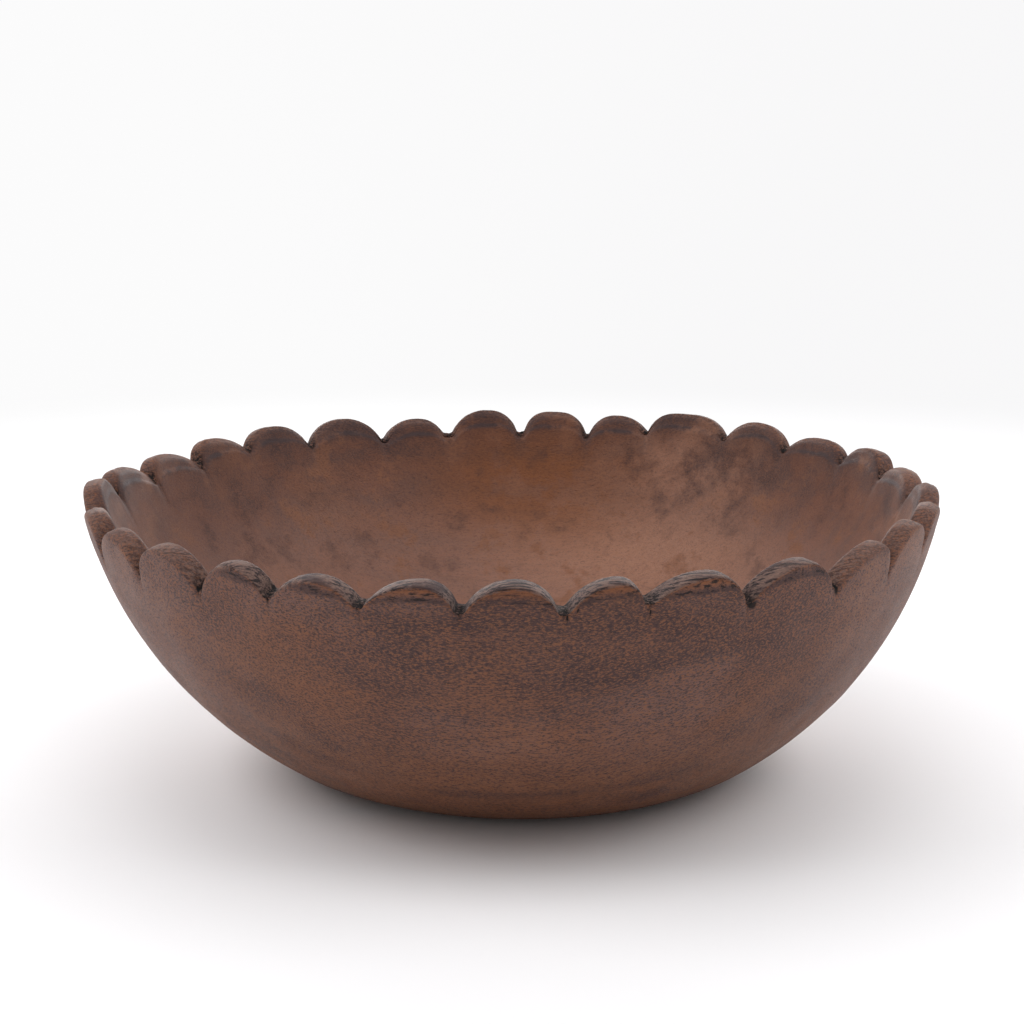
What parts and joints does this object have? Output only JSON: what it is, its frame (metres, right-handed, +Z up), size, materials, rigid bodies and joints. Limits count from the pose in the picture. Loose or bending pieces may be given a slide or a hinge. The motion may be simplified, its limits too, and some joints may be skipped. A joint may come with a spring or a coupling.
{
  "type": "carved wooden bowl",
  "caption": "Round bowl carved from one block of dark wood, with a full round belly, a flat foot and a scalloped rim of rounded lobes with V-cut notches.",
  "frame": {"origin": "middle of the flat foot, on the surface that the bowl stands on", "axes": "+Z up through the middle of the bowl, -Y towards the front, the wood's grain along X"},
  "size_m": [0.2994, 0.2991, 0.1019],
  "materials": {
    "carved_wood": "dark brown hardwood, sanded smooth and waxed thin on the wall, greyer and weathered on the rim, with fine dark pores along the grain and black grime in the notches"
  },
  "bodies": {
    "root": {"carved_bowl": "carved_wood"}
  },
  "joints": []
}
